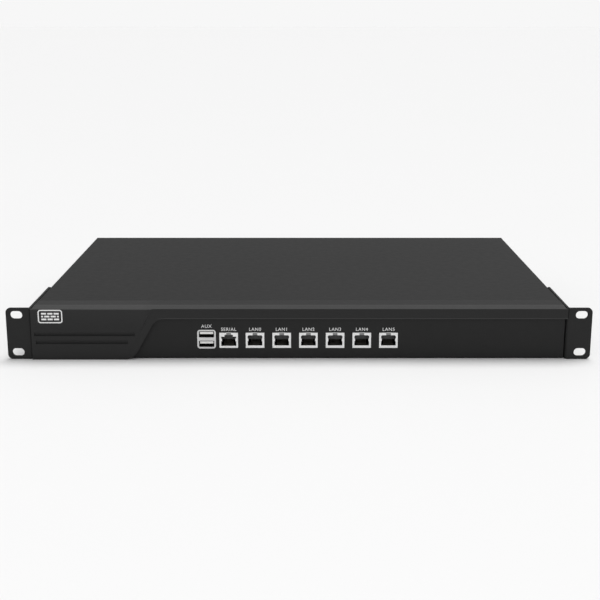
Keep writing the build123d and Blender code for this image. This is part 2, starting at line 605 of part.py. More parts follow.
def make_fan_frame(x):
    """Square frame with a round duct, and a motor base carried on four struts."""
    back, front = TRAY_BACK, TRAY_BACK - FAN_L
    with BuildPart() as frame:
        with BuildSketch(facing_front(back)):
            with Locations((x, FAN_Z)):
                RectangleRounded(FAN_SIZE, FAN_SIZE, 2.5)
                Circle(FAN_BORE_R, mode=Mode.SUBTRACT)
                with GridLocations(FAN_BOLTS, FAN_BOLTS, 2, 2):
                    Circle(2.15, mode=Mode.SUBTRACT)
        extrude(amount=back - front)
        # waist between the two flanges, where the corners are cut back
        with BuildSketch(facing_front(back - 4)):
            with Locations((x, FAN_Z)):
                Rectangle(FAN_SIZE + 2, FAN_SIZE + 2)
                Circle(19.95, mode=Mode.SUBTRACT)
        extrude(amount=FAN_L - 8, mode=Mode.SUBTRACT)
        with BuildSketch(facing_front(back)):
            with Locations((x, FAN_Z)):
                Circle(HUB_R)
                with PolarLocations(15.5, 4, start_angle=45):
                    Rectangle(9.0, 1.8)
                Circle(SHAFT_R + BEARING_CLEARANCE, mode=Mode.SUBTRACT)
        extrude(amount=3.0)
        with BuildSketch(facing_front(back - 3.0)):
            with Locations((x, FAN_Z)):
                Circle(BEARING_R)
                Circle(SHAFT_R + BEARING_CLEARANCE, mode=Mode.SUBTRACT)
        extrude(amount=12.0)
        # coil pack on the bearing tube, inside the rotor's cup
        with BuildSketch(facing_front(back - 3.0)):
            with Locations((x, FAN_Z)):
                Circle(8.0)
                Circle(BEARING_R - 0.1, mode=Mode.SUBTRACT)
        extrude(amount=10.0)
    return frame


def make_fan_rotor(x):
    """Cup-shaped hub with twisted blades and a shaft that turns in the frame's bearing."""
    with BuildPart() as rotor:
        with BuildSketch(facing_front(ROTOR_BACK)):
            with Locations((x, FAN_Z)):
                Circle(HUB_R)
                Circle(HUB_R - 1.6, mode=Mode.SUBTRACT)
        extrude(amount=ROTOR_BACK - ROTOR_FRONT)
        with BuildSketch(facing_front(ROTOR_FRONT + 2.0)):
            with Locations((x, FAN_Z)):
                Circle(HUB_R)
        extrude(amount=2.0)
        with BuildSketch(facing_front(TRAY_BACK - 1.0)):
            with Locations((x, FAN_Z)):
                Circle(SHAFT_R)
        extrude(amount=TRAY_BACK - 1.0 - ROTOR_FRONT - 1.0)
        middle_y = (ROTOR_FRONT + ROTOR_BACK) / 2
        for number in range(BLADES):
            turn = radians(360 / BLADES * number)
            out = Vector(cos(turn), 0, sin(turn))
            for radius, pitch, chord in ((HUB_R - 1.0, 48, 16.0), (BLADE_R, 34, 17.0)):
                chord_dir = Vector(0, 1, 0).rotate(Axis((0, 0, 0), tuple(out)), pitch)
                centre = Vector(x, middle_y, FAN_Z) + out * radius
                with BuildSketch(Plane(origin=centre, x_dir=chord_dir, z_dir=out)):
                    Ellipse(chord / 2, 0.55)
            loft()
    return rotor


for number, x in enumerate(FAN_X, start=1):
    save(make_fan_frame(x), f"fan_frame_{number}")
    save(make_fan_rotor(x), f"fan_rotor_{number}")

# wire guards over the fans, on the outside of the rear panel
GUARD_R, WIRE_R = (5.5, 10.0, 14.5, 18.5), 0.6
with BuildPart() as fan_guards:
    for x in FAN_X:
        for radius in GUARD_R:
            ring_plane = Plane(origin=(x, REAR_Y + 1.5 + WIRE_R, FAN_Z), x_dir=(1, 0, 0), z_dir=(0, 1, 0))
            with Locations(ring_plane.location):
                Torus(radius, WIRE_R)
        for sign in (-1, 1):
            with BuildSketch(facing_back(REAR_Y)):
                with Locations((-x, FAN_Z)):
                    Rectangle(39.0, 1.4, rotation=45 * sign)
            extrude(amount=1.6)
        with BuildSketch(facing_back(REAR_Y)):
            with Locations((-x, FAN_Z)):
                with GridLocations(FAN_BOLTS, FAN_BOLTS, 2, 2):
                    Circle(3.3)
        extrude(amount=1.0)
        with BuildSketch(facing_back(REAR_Y)):
            with Locations((-x, FAN_Z)):
                with GridLocations(FAN_BOLTS, FAN_BOLTS, 2, 2):
                    Circle(1.95)
        extrude(amount=1.6, mode=Mode.SUBTRACT)
save(fan_guards, "fan_guards")

with BuildPart() as fan_screws:
    for x in FAN_X:
        for dx in (-FAN_BOLTS / 2, FAN_BOLTS / 2):
            for dz in (-FAN_BOLTS / 2, FAN_BOLTS / 2):
                head = at(facing_back(REAR_Y + 1.0), -x - dx, FAN_Z + dz)
                pan_screw(head, 3.0, 1.5, 1.9, 6.0)
save(fan_screws, "fan_screws")

# ---------------------------------------------------------------- power inlet
INLET_FLANGE = (31.0, 24.0)
INLET_CAVITY = (24.0, 16.4)
with BuildPart() as power_inlet:
    with BuildSketch(facing_back(REAR_Y)):
        with Locations((-INLET_X, INLET_Z)):
            RectangleRounded(*INLET_FLANGE, 1.5)
    extrude(amount=BACK_Y - REAR_Y)
    with BuildSketch(facing_back(REAR_Y)):
        with Locations((-INLET_X, INLET_Z)):
            Rectangle(27.0, 19.8)
    extrude(amount=-19.0)
    with BuildSketch(facing_back(BACK_Y)):
        half_w, half_h, cut = INLET_CAVITY[0] / 2, INLET_CAVITY[1] / 2, 4.5
        outline((-INLET_X - half_w, INLET_Z - half_h), (-INLET_X + half_w, INLET_Z - half_h),
                (-INLET_X + half_w, INLET_Z + half_h - cut), (-INLET_X + half_w - cut, INLET_Z + half_h),
                (-INLET_X - half_w + cut, INLET_Z + half_h), (-INLET_X - half_w, INLET_Z + half_h - cut))
    extrude(amount=-18.0, mode=Mode.SUBTRACT)
save(power_inlet, "power_inlet")

PIN_FRONT = BACK_Y - 18.0
with BuildPart() as inlet_pins:
    for dx, dz in ((-7.0, -1.0), (7.0, -1.0), (0.0, 3.0)):
        block((INLET_X + dx - 1.0, INLET_X + dx + 1.0), (PIN_FRONT, BACK_Y - 2.0), (INLET_Z + dz - 2, INLET_Z + dz + 2))
save(inlet_pins, "inlet_pins")

# ---------------------------------------------------------------- power switch
ROCKER_W, ROCKER_R = 10.6, 8.2
PIVOT_Y = REAR_Y - 3.6
PIVOT_R = 1.2
ROCKER_TILT = 10.0

with BuildPart() as switch_frame:
    with BuildSketch(facing_back(REAR_Y)):
        with Locations((-SWITCH_X, SWITCH_Z)):
            RectangleRounded(15.0, 21.0, 1.0)
    extrude(amount=1.4)
    with BuildSketch(facing_back(REAR_Y)):
        with Locations((-SWITCH_X, SWITCH_Z)):
            Rectangle(12.9, 19.0)
    extrude(amount=-16.0)
    with BuildSketch(facing_back(REAR_Y + 1.4)):
        with Locations((-SWITCH_X, SWITCH_Z)):
            Rectangle(ROCKER_W + 0.6, 2 * ROCKER_R + 0.7)
    extrude(amount=-14.0, mode=Mode.SUBTRACT)
    with BuildSketch(facing_right(SWITCH_X - ROCKER_W / 2 - 1.0)):
        with Locations((PIVOT_Y, SWITCH_Z)):
            Circle(PIVOT_R + 0.04)
    extrude(amount=ROCKER_W + 2.0, mode=Mode.SUBTRACT)
save(switch_frame, "switch_frame")

tilt = radians(ROCKER_TILT)
rocker_plane = Plane(origin=(SWITCH_X - ROCKER_W / 2, PIVOT_Y, SWITCH_Z), x_dir=(0, cos(tilt), -sin(tilt)),
                     z_dir=(1, 0, 0))
with BuildPart() as power_rocker:
    with BuildSketch(rocker_plane):
        Circle(ROCKER_R)
        with Locations((-ROCKER_R - 1.5, 0)):
            Rectangle(2 * ROCKER_R, 3 * ROCKER_R, mode=Mode.SUBTRACT)
        with BuildLine():
            Polyline((4.0, 0), (4.7, 6.8), (5.1, 12), (12, 12), (12, -12), (5.1, -12), (4.7, -6.8), close=True)
        make_face(mode=Mode.SUBTRACT)
    extrude(amount=ROCKER_W)
    with BuildSketch(rocker_plane.offset(-0.9)):
        Circle(PIVOT_R)
    extrude(amount=ROCKER_W + 1.8)
save(power_rocker, "power_rocker")

# ---------------------------------------------------------------- earth screw
with BuildPart() as earth_screw:
    pan_screw(at(facing_back(REAR_Y), -EARTH_X, EARTH_Z), 3.6, 2.0, 1.95, 7.0)
save(earth_screw, "earth_screw")

# ---------------------------------------------------------------- power supply board
SUPPLY_X, SUPPLY_Y = (124.0, 208.0), (-18.0, 112.0)
SUPPLY_TOP = 9.1
SUPPLY_HOLES = [(x, y) for x in (SUPPLY_X[0] + 4, SUPPLY_X[1] - 4) for y in (SUPPLY_Y[0] + 4, SUPPLY_Y[1] - 4)]
with BuildPart() as supply_board:
    block(SUPPLY_X, SUPPLY_Y, (SUPPLY_TOP - BOARD_SHEET, SUPPLY_TOP))
    with Locations(*[(x, y, SUPPLY_TOP) for x, y in SUPPLY_HOLES]):
        Hole(HOLE_R, depth=BOARD_SHEET)
save(supply_board, "supply_board")
save(make_standoffs(SUPPLY_HOLES, SHEET, SUPPLY_TOP - BOARD_SHEET), "supply_standoffs")
save(make_board_screws(SUPPLY_HOLES, SUPPLY_TOP), "supply_screws")

with BuildPart() as supply_transformer:
    block((150.0, 180.0), (40.0, 72.0), (SUPPLY_TOP, SUPPLY_TOP + 4.0))
    block((153.0, 177.0), (43.0, 69.0), (SUPPLY_TOP + 4.0, SUPPLY_TOP + 22.0))
    block((150.0, 180.0), (47.0, 65.0), (SUPPLY_TOP + 4.0, SUPPLY_TOP + 25.0))
save(supply_transformer, "supply_transformer")

with BuildPart() as supply_capacitors:
    for x, y, radius, height in ((140.0, 90.0, 9.0, 30.0), (162.0, 90.0, 9.0, 30.0),
                                 (136.0, 4.0, 5.0, 20.0), (149.0, 4.0, 5.0, 20.0), (162.0, 4.0, 5.0, 20.0)):
        with BuildSketch(Plane.XY.offset(SUPPLY_TOP)):
            with Locations((x, y)):
                Circle(radius)
        extrude(amount=height)
save(supply_capacitors, "supply_capacitors")

with BuildPart() as supply_heat_sinks:
    for x in (129.0, 196.0):
        block((x, x + 3.0), (22.0, 78.0), (SUPPLY_TOP, SUPPLY_TOP + 28.0))
        for y in range(24, 78, 8):
            block((x + 3.0, x + 8.0), (y, y + 1.4), (SUPPLY_TOP + 6.0, SUPPLY_TOP + 28.0))
save(supply_heat_sinks, "supply_heat_sinks")
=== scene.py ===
# %% [markdown]
# # A rack-mount firewall appliance, one rack unit high
# The case, the ears, the jacks and everything that turns come from the CAD frame, which is
# already true to size. This lesson gives each of those nodes its finish, adds what a maker prints
# on afterwards and a few small parts inside the jacks, and sets up the studio. Everything is in
# metres.

# %% Open the frame
import json
from math import radians

import bmesh
import bpy
from mathutils import Matrix, Vector


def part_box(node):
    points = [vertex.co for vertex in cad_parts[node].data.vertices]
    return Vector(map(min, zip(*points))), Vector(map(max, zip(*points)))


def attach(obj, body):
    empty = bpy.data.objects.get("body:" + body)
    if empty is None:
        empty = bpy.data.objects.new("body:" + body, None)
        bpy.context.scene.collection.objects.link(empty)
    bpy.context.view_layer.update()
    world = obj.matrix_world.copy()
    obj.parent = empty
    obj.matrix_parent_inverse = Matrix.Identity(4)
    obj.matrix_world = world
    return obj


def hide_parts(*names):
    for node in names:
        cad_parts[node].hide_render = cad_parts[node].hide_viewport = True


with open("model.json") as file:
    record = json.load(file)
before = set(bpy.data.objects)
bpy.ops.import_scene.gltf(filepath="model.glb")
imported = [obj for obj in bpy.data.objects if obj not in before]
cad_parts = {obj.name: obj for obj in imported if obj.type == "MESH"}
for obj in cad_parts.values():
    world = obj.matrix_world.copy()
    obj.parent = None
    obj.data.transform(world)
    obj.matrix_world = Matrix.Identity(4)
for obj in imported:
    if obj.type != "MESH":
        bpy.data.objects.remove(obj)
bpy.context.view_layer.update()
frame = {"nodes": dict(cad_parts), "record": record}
MM = 0.001

# %% [markdown]
# ## Sums on sockets
# A pattern is a sum of textures and masks. Wiring Math nodes by hand hides the sum, so one small
# class wraps a socket and overloads the operators: `1 - mask * 0.2` then adds its own nodes.

# %% A socket that takes part in arithmetic
class Value:
    """The output of a node, in the finish that owns it."""

    def __init__(self, finish, socket):
        self.finish = finish
        self.socket = socket

    def _math(self, operation, first, second):
        return self.finish.add("ShaderNodeMath", {"operation": operation}, {0: first, 1: second})

    def __add__(self, other):
        return self._math("ADD", self, other)

    def __radd__(self, other):
        return self._math("ADD", other, self)

    def __sub__(self, other):
        return self._math("SUBTRACT", self, other)

    def __rsub__(self, other):
        return self._math("SUBTRACT", other, self)

    def __mul__(self, other):
        return self._math("MULTIPLY", self, other)

    def __rmul__(self, other):
        return self._math("MULTIPLY", other, self)

    def __truediv__(self, other):
        return self._math("DIVIDE", self, other)

    def __abs__(self):
        return self._math("ABSOLUTE", self, 0.0)


# %% One finish, one material
class Finish:
    """A material built around one Principled shader, read in Object coordinates."""

    def __init__(self, name, colour, roughness, metallic=0.0, **sockets):
        self.material = bpy.data.materials.new(name)
        self.material.use_nodes = True
        self.tree = self.material.node_tree
        self.shader = self.tree.nodes["Principled BSDF"]
        self.colour = (*colour, 1.0)
        self.roughness = roughness
        self.put(self.shader.inputs["Base Color"], self.colour)
        self.put(self.shader.inputs["Roughness"], roughness)
        self.put(self.shader.inputs["Metallic"], metallic)
        for socket, value in sockets.items():
            self.put(self.shader.inputs[socket.replace("_", " ")], value)

    def put(self, socket, value):
        if isinstance(value, Value):
            self.tree.links.new(value.socket, socket)
        else:
            socket.default_value = value

    def add(self, kind, settings=None, sockets=None, out=0):
        """A node of that kind: its settings first, then the values or links of its sockets."""
        node = self.tree.nodes.new(kind)
        for key, setting in (settings or {}).items():
            if key == "stops":
                for stop, (place, shade) in zip(node.color_ramp.elements, setting):
                    stop.position = place
                    stop.color = (shade, shade, shade, 1)
            else:
                setattr(node, key, setting)
        for key, value in (sockets or {}).items():
            self.put(node.inputs[key], value)
        return Value(self, node.outputs[out])

    def place(self, stretch=(1, 1, 1)):
        """Object coordinates, stretched along each axis."""
        where = self.add("ShaderNodeTexCoord", out="Object")
        return self.add("ShaderNodeMapping", sockets={"Vector": where, "Scale": stretch})

    def along(self, axis):
        """How far along X, Y or Z a point of the object is, in metres."""
        where = self.add("ShaderNodeTexCoord", out="Object")
        return self.add("ShaderNodeSeparateXYZ", sockets={"Vector": where}, out=axis)

    def ramp(self, value, low, high):
        """0 below low, 1 above high, and smooth between. The other way round if low is larger."""
        return self.add("ShaderNodeMapRange", {"interpolation_type": "SMOOTHSTEP"},
                        {"Value": value, "From Min": low, "From Max": high}, out="Result")

    def noise(self, scale, detail=2.0, stretch=(1, 1, 1)):
        """Noise from 0 to 1, with that many lumps to the metre."""
        return self.add("ShaderNodeTexNoise", sockets={
            "Vector": self.place(stretch), "Scale": scale, "Detail": detail}, out="Fac")

    def tint(self, mask, colour):
        """The finish's colour, going to another where the mask is 1."""
        mixed = self.add("ShaderNodeMix", {"data_type": "RGBA"},
                         {"Factor": mask, 6: self.colour, 7: (*colour, 1.0)}, out=2)
        self.put(self.shader.inputs["Base Color"], mixed)

    def vary_roughness(self, mask, amount):
        self.put(self.shader.inputs["Roughness"], mask * amount + (self.roughness - amount / 2))

    def bump(self, height, depth):
        """Relief of that depth in metres where the height goes from 0 to 1."""
        normal = self.add("ShaderNodeBump", sockets={
            "Strength": 1.0, "Distance": depth, "Height": height}, out="Normal")
        self.put(self.shader.inputs["Normal"], normal)


# %% [markdown]
# ## Painted steel
# Powder coat melts into a skin that is never quite flat: makers call it orange peel. Its lumps
# are under a millimetre wide and a few microns high, so at arm's length they only soften the
# reflection. A faint, wide mottle in the colour stands for uneven film thickness.

# %% Powder coat
MATT_SHINE = 0.2
FILM_PATCHES, FILM_SPECKS, FILM_LIGHTER = 9.0, 900.0, 1.35
PEEL_LUMPS, PEEL_DEPTH = 1500.0, 0.02 * MM


def powder_coat(name, colour, roughness=0.55):
    """A matt black coat. The lumps are counted to the metre."""
    finish = Finish(name, colour, roughness, Specular_IOR_Level=MATT_SHINE)
    lighter = tuple(channel * FILM_LIGHTER for channel in colour)
    finish.tint(finish.noise(FILM_PATCHES, 3.0) * 0.5 + finish.noise(FILM_SPECKS) * 0.3, lighter)
    finish.vary_roughness(finish.noise(160.0), 0.12)
    finish.bump(finish.noise(PEEL_LUMPS, 3.0), PEEL_DEPTH)
    return finish.material


# %% [markdown]
# ## Moulded plastic
# Moulds are spark-eroded so that the part doesn't look glossy. The grain is finer than powder
# coat and sharper, so a second, smaller noise is added to the first.

# %% Grained plastic
SMEARS, SMEAR_DEPTH = 220.0, 0.08
FINE_GRAIN, COARSE_GRAIN = 2600.0, 700.0
SPARKED, POLISHED_MOULD = 0.012 * MM, 0.004 * MM


def moulded(name, colour, roughness, grain=SPARKED, shine=MATT_SHINE):
    """A plastic part whose grain is that deep."""
    finish = Finish(name, colour, roughness, Specular_IOR_Level=shine)
    finish.vary_roughness(finish.noise(SMEARS), SMEAR_DEPTH)
    finish.bump(finish.noise(FINE_GRAIN) + finish.noise(COARSE_GRAIN) * 0.4, grain)
    lighter = tuple(channel * 1.3 + 0.002 for channel in colour)
    finish.tint(finish.noise(14.0) * 0.5, lighter)
    return finish.material


# %% [markdown]
# ## Bare and plated metal
# Sheet metal keeps the lines of the roller or the brush. Stretching the noise along one axis
# draws them, and they feed roughness and a very shallow bump, not the colour.

# %% Drawn metal
LINE_DEPTH = 0.004 * MM
ALONG_X, ALONG_Y = (0.1, 1, 1), (1, 0.1, 1)


def drawn_metal(name, colour, roughness, along=(1, 1, 1)):
    """Bare metal. A stretch below 1 draws the lines out along that axis."""
    finish = Finish(name, colour, roughness, metallic=1.0)
    streaks = finish.noise(900.0, 3.0, stretch=along)
    finish.vary_roughness(streaks, 0.16)
    finish.bump(streaks, LINE_DEPTH)
    duller = tuple(channel * 0.82 for channel in colour)
    finish.tint(finish.noise(120.0) * 0.7, duller)
    return finish.material


# %% [markdown]
# ## The front bezel
# The bezel is one big moulding. Its colour carries a painted highlight along the crest of its
# top and on the slope that falls from the crest to the face, and also on the lower edge of the lip
# over the ports and on the upper part of the raised pad. Each is a mask made from ramps along the
# axes, and noise breaks up their sum. It makes the plastic lighter, a painted highlight, and
# smoother there. Painting a texture by hand would do it too, but ramps stay exact.

# %% Plastic with painted highlights
PLASTIC = (0.0165, 0.0165, 0.0165)
PAINTED_HIGHLIGHT = (0.046, 0.046, 0.046)
top_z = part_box("bezel")[1].z
face_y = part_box("bezel")[0].y
crest_y = face_y + 11.6 * MM
LIP_LOW, LIP_START = 34.9 * MM, -118 * MM
PAD_LOW, PAD_EDGE, PAD_BLEND = 26.0 * MM, -125 * MM, 5 * MM
print("bezel face at", round(face_y, 4), "crest at", round(crest_y, 4), "top at", round(top_z, 4))


def bezel_plastic():
    """The bezel's own plastic, with painted highlights on its crest, slope, lip edge and pad."""
    finish = Finish("bezel_black", PLASTIC, 0.46, Specular_IOR_Level=MATT_SHINE)
    x, y, z = (finish.along(axis) for axis in "XYZ")
    high = finish.ramp(z, top_z - 0.9 * MM, top_z - 0.5 * MM)
    slope = finish.ramp(y, crest_y + 0.5 * MM, crest_y - 0.5 * MM) * high
    crest = finish.ramp(abs(y - crest_y), 1.6 * MM, 0.4 * MM) * high
    right_of_pad = finish.ramp(x, LIP_START, LIP_START + 10 * MM)
    lip_edge = finish.ramp(abs(z - LIP_LOW), 0.9 * MM, 0.3 * MM) * right_of_pad
    on_pad = finish.ramp(x, PAD_EDGE + PAD_BLEND, PAD_EDGE - PAD_BLEND)
    pad = finish.ramp(z, PAD_LOW, top_z - 2.0 * MM) * on_pad
    # painted highlight: a lighter colour on the slope, crest, lip edge and pad, also smoother
    # there
    painted_highlight = slope * 0.62 + crest * 0.38 + lip_edge * 0.8 + pad * 0.14
    painted_highlight = painted_highlight * (finish.noise(60.0) * 0.3 + 0.85)
    finish.tint(painted_highlight + finish.noise(14.0) * 0.05, PAINTED_HIGHLIGHT)
    finish.vary_roughness(finish.noise(SMEARS) - painted_highlight * 0.8, SMEAR_DEPTH)
    finish.bump(finish.noise(FINE_GRAIN) + finish.noise(COARSE_GRAIN) * 0.4, SPARKED)
    return finish.material


# %% [markdown]
# ## Tinned steel connector shells
# The shells of the sockets are tin-plated steel, greyer on the stacked pair than on the jacks.
# Their faces are bright and slightly wavy. Inside the mouths little light reaches the plating, so
# a ramp on the distance behind the faces darkens its colour: painted shade. A smooth ramp is
# used, so that the painted shade has no hard edge.

# %% Shell steel
shell_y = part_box("lan_shield_0")[0].y
BRIGHT_TIN = (0.82, 0.82, 0.82)
GREY_TIN = (0.62, 0.62, 0.62)
PAINTED_SHADE_TIN = (0.035, 0.035, 0.036)
TIN_WAVES = 500.0
print("shell faces at", round(shell_y, 4))


def shell_steel(name, colour, shade_from, shade_to):
    """Tin plate whose colour darkens between those two depths behind its face: painted shade."""
    finish = Finish(name, colour, 0.42, metallic=0.6)
    depth = finish.along("Y") - shell_y
    # painted shade inside the mouth: the colour darkens with depth behind the face
    finish.tint(finish.ramp(depth, shade_from, shade_to), PAINTED_SHADE_TIN)
    finish.vary_roughness(finish.noise(800.0, 3.0, stretch=(1, 1, 0.2)), 0.16)
    finish.bump(finish.noise(TIN_WAVES), LINE_DEPTH)
    return finish.material


# %% [markdown]
# ## What sits inside the mouths
# The stacked sockets have white tongues, lit only at their front ends, so further in their colour
# carries painted shade. The sprung contacts of the jacks climb out of the shade of the jack's
# floor, and that shade is painted into their colour too. The same ramp does both: on the depth
# for the tongues, and on the height for the contacts.

# %% Tongue plastic
TONGUE_WHITE, TONGUE_SHADE = (0.88, 0.88, 0.86), (0.03, 0.03, 0.03)


def tongue_plastic():
    """White at the front end of the tongue, with painted shade from a millimetre in."""
    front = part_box("usb_tongues")[0].y
    finish = Finish("tongue_white", TONGUE_WHITE, 0.35, Specular_IOR_Level=MATT_SHINE)
    # painted shade: dark from a millimetre behind the tongue's front
    finish.tint(finish.ramp(finish.along("Y") - front, 0.2 * MM, 1.0 * MM), TONGUE_SHADE)
    finish.bump(finish.noise(FINE_GRAIN), POLISHED_MOULD)
    return finish.material


# %% Contact plating
PALE_GOLD, SHADED_GOLD = (0.66, 0.60, 0.48), (0.22, 0.20, 0.17)


def contact_plating():
    """Pale gold on top of the contacts, with painted shade towards their foot."""
    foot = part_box("jack_contacts")[0].z
    finish = Finish("contact_gold", PALE_GOLD, 0.34, metallic=0.7)
    # painted shade: the gold darkens towards the shaded floor of the jack
    finish.tint(finish.ramp(finish.along("Z"), foot + 4.0 * MM, foot + 1.0 * MM), SHADED_GOLD)
    finish.vary_roughness(finish.noise(900.0), 0.1)
    return finish.material


# %% [markdown]
# ## The finishes of this appliance
# Each material slot of the record gets one finish. The case is one black powder coat; the cover,
# the port panel and the ears get lit and shaded copies of it, a little apart in shade so that the
# top and the front come out right under the lights: painted light and shade. Three nodes have a
# finish of their own, with painted shade behind their fronts, because light reaches only the front
# of them.

# %% One finish for each slot
FINISHES = {
    "case_coat": powder_coat("case_coat", (0.0155, 0.0155, 0.0155)),
    # cover, panel and ear shades are lit and shaded copies of one coat: painted light and shade
    "cover_coat": powder_coat("cover_coat", (0.0140, 0.0140, 0.0140)),
    "panel_coat": powder_coat("panel_coat", (0.0135, 0.0135, 0.0135)),
    "ear_coat": powder_coat("ear_coat", (0.0135, 0.0135, 0.0135), 0.5),
    "bezel_black": bezel_plastic(),
    "black_screw": drawn_metal("black_screw", (0.05, 0.05, 0.052), 0.42),
    "zinc_screw": drawn_metal("zinc_screw", (0.62, 0.62, 0.60), 0.34),
    "zinc_sheet": drawn_metal("zinc_sheet", (0.56, 0.57, 0.58), 0.40, ALONG_Y),
    "brass_part": drawn_metal("brass_part", (0.80, 0.60, 0.28), 0.28),
    "board_green": moulded("board_green", (0.015, 0.10, 0.045), 0.35),
    "board_tan": moulded("board_tan", (0.36, 0.26, 0.11), 0.45),
    "chip_black": moulded("chip_black", (0.018, 0.018, 0.02), 0.45),
    "jack_black": moulded("jack_black", (0.010, 0.010, 0.010), 0.42),
    "white_plastic": moulded("white_plastic", (0.88, 0.88, 0.86), 0.35, POLISHED_MOULD),
    "capacitor_sleeve": moulded("capacitor_sleeve", (0.02, 0.02, 0.06), 0.30),
    "bare_aluminium": drawn_metal("bare_aluminium", (0.80, 0.80, 0.81), 0.36, (1, 0.06, 1)),
    "transformer_tape": moulded("transformer_tape", (0.75, 0.52, 0.08), 0.30),
    "gold_contact": drawn_metal("gold_contact", (0.95, 0.72, 0.34), 0.22),
    "shield_steel": shell_steel("shield_steel", BRIGHT_TIN, 0.7 * MM, 1.6 * MM),
    "drive_shell": drawn_metal("drive_shell", (0.50, 0.50, 0.51), 0.34, ALONG_X),
    "nickel_pin": drawn_metal("nickel_pin", (0.72, 0.70, 0.66), 0.25),
    "rocker_black": moulded("rocker_black", (0.014, 0.014, 0.014), 0.25, 0.000003),
    "guard_wire": drawn_metal("guard_wire", (0.78, 0.78, 0.78), 0.18),
    "fan_black": moulded("fan_black", (0.030, 0.030, 0.030), 0.45, shine=0.4),
    "rotor_black": moulded("rotor_black", (0.10, 0.10, 0.105), 0.30, POLISHED_MOULD, 0.5),
}

# %% Finishes on the nodes
SLOT_OF = {part["node"]: part["material_slot"] for part in frame["record"]["subparts"]}
OWN_FINISH = {
    "usb_tongues": tongue_plastic(),
    "jack_contacts": contact_plating(),
    "usb_shell": shell_steel("usb_steel", GREY_TIN, 0.2 * MM, 0.7 * MM),
}


def finish_of(node):
    """The material of a CAD node: its own, or else its slot's."""
    return OWN_FINISH.get(node, FINISHES[SLOT_OF[node]])


for node in SLOT_OF:
    materials = frame["nodes"][node].data.materials
    materials.clear()
    materials.append(finish_of(node))
print("slots:", len(FINISHES), "nodes:", len(SLOT_OF))

# %% [markdown]
# ## Edges that catch the light
# A CAD edge is infinitely sharp, and a real one never is: paint flows off it and moulds round it.
# So each part that shows its edges is copied, its triangles are merged back into whole faces,
# and every sharp edge gets a narrow bevel. The copy stands for the CAD node, which stays as it is.

# %% From a bmesh to a piece
def mesh_from(bm, name):
    """The finished mesh of a bmesh, which is freed."""
    mesh = bpy.data.meshes.new(name)
    bm.to_mesh(mesh)
    bm.free()
    return mesh


def add_piece(name, mesh, material, body):
    """A finished mesh as a piece of the object, riding on a body."""
    mesh.materials.clear()
    mesh.materials.append(material)
    piece = bpy.data.objects.new(name, mesh)
    bpy.context.collection.objects.link(piece)
    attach(piece, body)
    return piece


# %% Bevelled copies
WELD = 0.001 * MM
FLAT = radians(0.3)


def whole_faces(node):
    """A bmesh of a CAD node with its triangles merged into whole faces."""
    bm = bmesh.new()
    bm.from_mesh(frame["nodes"][node].data)
    bmesh.ops.remove_doubles(bm, verts=bm.verts, dist=WELD)
    bmesh.ops.dissolve_limit(bm, angle_limit=FLAT, verts=bm.verts, edges=bm.edges)
    return bm


def soften(node, width, segments=2, sharp=25, body="case"):
    """A copy of a CAD node whose edges sharper than that angle are rounded by that width."""
    bm = whole_faces(node)
    edges = [edge for edge in bm.edges
             if edge.is_manifold and edge.calc_face_angle() > radians(sharp)]
    bmesh.ops.bevel(bm, geom=edges, offset=width, offset_type="OFFSET", segments=segments,
                    profile=0.5, affect="EDGES", clamp_overlap=True, material=-1)
    for face in bm.faces:
        face.smooth = False
    piece = add_piece(node + "_soft", mesh_from(bm, node + "_soft"), finish_of(node), body)
    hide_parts(node)
    print(piece.name, len(piece.data.polygons), "faces")


# %% Moulded and sheet parts
for node, width in (("bezel", 0.45), ("ear_left", 0.3), ("ear_right", 0.3), ("usb_shell", 0.25)):
    soften(node, width * MM)
for node in ["serial_shield"] + [f"lan_shield_{number}" for number in range(6)]:
    soften(node, 0.1 * MM, 1)
for node, width in (("power_inlet", 0.3), ("switch_frame", 0.25)):
    soften(node, width * MM)
soften("power_rocker", 0.3 * MM, body="rocker")
soften("top_cover", 0.25 * MM)
for number in (1, 2, 3):
    soften(f"fan_frame_{number}", 0.2 * MM, 1, 35)

# %% [markdown]
# ## White print
# The port names and the badge are screen-printed ink, about a twentieth of a millimetre thick.
# Type is made as text objects, turned into a mesh, and laid on the panel. The words are plain
# functional ones, and the badge is a small brick wall, the usual sign for a firewall.

# %% The ink and how it is laid down
ink = Finish("white_ink", (0.92, 0.92, 0.92), 0.45)
ink.tint(ink.noise(2500.0, 1.0) * 0.5, (0.78, 0.78, 0.78))
INK_THICK = 0.05 * MM
TO_FRONT, TO_BACK = (0, -1, 0), (0, 1, 0)


def laid_on(x, y, z, normal):
    """The matrix that lays a drawing in the XY plane at a place on a surface, with its top up."""
    normal = Vector(normal)
    up = (Vector((0, 0, 1)) - normal * normal.z).normalized()
    turn = Matrix((up.cross(normal), up, normal)).transposed().to_4x4()
    return Matrix.Translation((x, y, z)) @ turn


# %% Words
panel_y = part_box("port_panel")[0].y
CAPITAL = 0.69
LETTER_GAP = 1.12
print("panel face at", round(panel_y, 4))


def printed_word(name, word, x, z, height):
    """A word in ink on the port panel, centred on x, with its foot at z."""
    curve = bpy.data.curves.new(name, "FONT")
    curve.body = word
    curve.align_x = "CENTER"
    curve.size = height / CAPITAL
    curve.extrude = INK_THICK / 2
    curve.space_character = LETTER_GAP
    text = bpy.data.objects.new(name, curve)
    bpy.context.collection.objects.link(text)
    bpy.context.view_layer.update()
    shown = text.evaluated_get(bpy.context.evaluated_depsgraph_get())
    mesh = bpy.data.meshes.new_from_object(shown)
    bpy.data.objects.remove(text)
    mesh.transform(laid_on(x, panel_y - INK_THICK / 2, z, TO_FRONT))
    add_piece(name, mesh, ink.material, "case")


# %% Port names
def middle_x(node):
    """The middle of a node from left to right."""
    low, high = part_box(node)
    return (low.x + high.x) / 2


